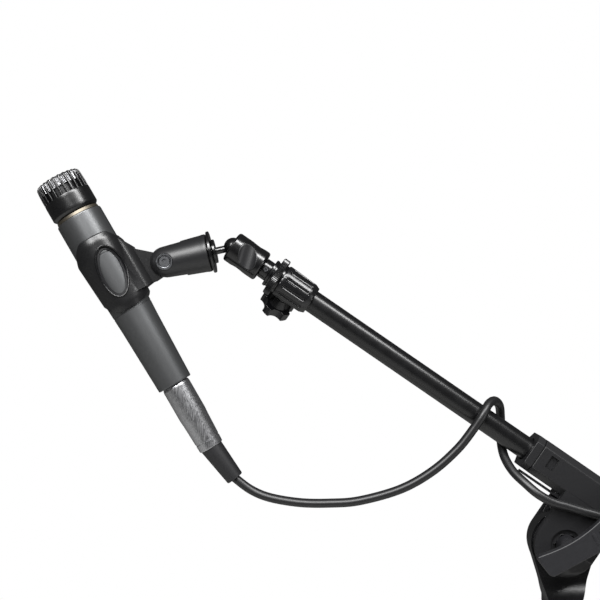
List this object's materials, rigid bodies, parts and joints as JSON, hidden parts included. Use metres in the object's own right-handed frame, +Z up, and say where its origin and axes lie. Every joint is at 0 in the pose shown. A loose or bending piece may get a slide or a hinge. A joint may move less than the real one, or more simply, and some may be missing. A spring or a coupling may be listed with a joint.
{
  "type": "boom microphone stand",
  "caption": "Telescopic tripod mast with a tilting, extending boom, a small ball head and a hinged clip that holds a slim dynamic microphone with its cable looped round the boom.",
  "frame": {"origin": "on the mast's axis at floor level", "axes": "+Z up along the mast, the boom in the XZ plane with the microphone towards -X, near side -Y"},
  "size_m": [0.7072, 0.584, 1.2515],
  "materials": {
    "powder_coat": "semi-gloss black powder coat",
    "cast_metal": "black paint on zinc casting",
    "machined_black": "black anodised",
    "plated_steel": "zinc plated",
    "nylon": "moulded, fine satin",
    "natural_nylon": "natural nylon",
    "knob_plastic": "moulded, semi-gloss",
    "rubber": "moulded black rubber",
    "mic_enamel": "dark grey enamel",
    "mic_head_plastic": "gloss black",
    "mic_mesh": "woven steel",
    "mic_ring": "champagne satin",
    "capsule": "brass and foil",
    "nickel": "satin nickel",
    "cable": "matt PVC jacket"
  },
  "bodies": {
    "base": {"leg_hub": "cast_metal", "lower_mast": "powder_coat", "mast_bush": "natural_nylon", "height_clutch_body": "nylon", "leg_pins": "plated_steel", "cord_7": "cable", "cord_coil": "cable", "plug_shell": "nickel", "plug_boot": "rubber"},
    "leg_1": {"leg_1": "powder_coat", "foot_1": "rubber"},
    "leg_2": {"leg_2": "powder_coat", "foot_2": "rubber"},
    "leg_3": {"leg_3": "powder_coat", "foot_3": "rubber"},
    "hub_knob": {"hub_knob": "knob_plastic"},
    "height_clutch": {"height_clutch_ring": "nylon"},
    "upper_mast": {"upper_mast": "powder_coat", "upper_mast_plug": "natural_nylon", "mast_top_stud": "machined_black"},
    "head": {"pivot_bracket": "cast_metal", "friction_discs": "plated_steel", "pivot_bolt": "plated_steel", "cord_6": "cable"},
    "tilt_lever": {"tilt_lever": "cast_metal"},
    "boom_arm": {"clamp_housing": "nylon", "clamp_lip": "nylon", "boom_outer_tube": "powder_coat", "boom_end_cap": "nylon", "cord_5": "cable"},
    "boom_collet": {"clamp_collet": "nylon", "cord_4": "cable"},
    "boom_tube": {"boom_inner_tube": "powder_coat", "inner_tube_plug": "natural_nylon", "tube_collar": "knob_plastic", "boom_stud": "plated_steel", "step_washer": "machined_black", "ball_socket": "machined_black", "socket_screw": "plated_steel", "cord_3": "cable"},
    "star_knob": {"star_knob": "knob_plastic"},
    "lock_disc": {"lock_disc": "machined_black"},
    "lock_sleeve": {"lock_sleeve": "machined_black"},
    "ball_arm": {"ball_stud": "machined_black", "thread_adapter": "machined_black", "clip_base": "nylon", "clip_bolt": "plated_steel", "cord_2": "cable"},
    "stud_nut": {"stud_nut": "machined_black"},
    "mic": {"mic_clip": "nylon", "mic_body": "mic_enamel", "mic_neck_ring": "mic_ring", "mic_head": "mic_head_plastic", "mic_mesh": "mic_mesh", "mic_capsule": "capsule", "mic_connector": "knob_plastic", "xlr_shell": "nickel", "xlr_boot": "rubber", "cord_1": "cable"},
    "xlr_latch": {"xlr_latch": "nickel"}
  },
  "joints": [
    {"name": "leg_1_fold", "type": "hinge", "parent": "base", "child": "leg_1", "pos_m": [-0.034, 0, 0.088], "axis": [0, 1, 0], "range_deg": [0, 104]},
    {"name": "leg_2_fold", "type": "hinge", "parent": "base", "child": "leg_2", "pos_m": [0.017, 0.02944, 0.088], "axis": [0.866, -0.5, 0], "range_deg": [0, 104]},
    {"name": "leg_3_fold", "type": "hinge", "parent": "base", "child": "leg_3", "pos_m": [0.017, -0.02944, 0.088], "axis": [-0.866, -0.5, 0], "range_deg": [0, 104]},
    {"name": "hub_knob_turn", "type": "hinge", "parent": "base", "child": "hub_knob", "pos_m": [0, 0, 0.088], "axis": [-0.5, 0.866, 0], "range_deg": [0, 360]},
    {"name": "height_clutch_twist", "type": "hinge", "parent": "base", "child": "height_clutch", "pos_m": [0, 0, 0.86], "axis": [0, 0, 1], "range_deg": [0, 180]},
    {"name": "mast_height", "type": "slide", "parent": "base", "child": "upper_mast", "axis": [0, 0, 1], "range_m": [-0.065, 0.6], "deforming": ["cord_7"]},
    {"name": "boom_swivel", "type": "hinge", "parent": "upper_mast", "child": "head", "pos_m": [0, 0, 0.97], "axis": [0, 0, 1], "range_deg": [-180, 180], "deforming": ["cord_6"]},
    {"name": "boom_tilt", "type": "hinge", "parent": "head", "child": "boom_arm", "pos_m": [0, 0, 1], "axis": [0, 1, 0], "range_deg": [-60, 50], "deforming": ["cord_5"]},
    {"name": "tilt_lever_turn", "type": "hinge", "parent": "head", "child": "tilt_lever", "pos_m": [0, 0, 1], "axis": [0, 1, 0], "range_deg": [-35, 45]},
    {"name": "boom_roll", "type": "hinge", "parent": "boom_arm", "child": "boom_collet", "pos_m": [-0.01886, 0, 1.05907], "axis": [-0.8241, 0, 0.5664], "range_deg": [-90, 90], "deforming": ["cord_4"]},
    {"name": "boom_extend", "type": "slide", "parent": "boom_collet", "child": "boom_tube", "axis": [-0.8241, 0, 0.5664], "range_m": [-0.08, 0.1], "deforming": ["cord_3"]},
    {"name": "star_knob_turn", "type": "hinge", "parent": "boom_tube", "child": "star_knob", "pos_m": [-0.18368, 0, 1.17235], "axis": [-0.4005, 0.7071, -0.5827], "range_deg": [0, 360]},
    {"name": "lock_disc_turn", "type": "hinge", "parent": "boom_tube", "child": "lock_disc", "pos_m": [-0.19151, 0, 1.17773], "axis": [-0.8241, 0, 0.5664], "range_deg": [0, 180]},
    {"name": "lock_sleeve_turn", "type": "hinge", "parent": "boom_tube", "child": "lock_sleeve", "pos_m": [-0.20214, 0, 1.18504], "axis": [-0.8241, 0, 0.5664], "range_deg": [0, 120]},
    {"name": "ball_tilt", "type": "hinge", "parent": "boom_tube", "child": "ball_arm", "pos_m": [-0.22168, 0, 1.19846], "axis": [0, 1, 0], "range_deg": [0, 90], "deforming": ["cord_2"]},
    {"name": "stud_nut_turn", "type": "hinge", "parent": "ball_arm", "child": "stud_nut", "pos_m": [-0.22168, 0, 1.19846], "axis": [-0.9763, 0, -0.2164], "range_deg": [0, 180]},
    {"name": "clip_tilt", "type": "hinge", "parent": "ball_arm", "child": "mic", "pos_m": [-0.26707, 0, 1.1884], "axis": [0, 1, 0], "range_deg": [-35, 60], "deforming": ["cord_1"]},
    {"name": "xlr_latch_press", "type": "slide", "parent": "mic", "child": "xlr_latch", "axis": [0, -1, 0], "range_m": [0, 0.0009], "stiffness_N_per_m": 300}
  ]
}
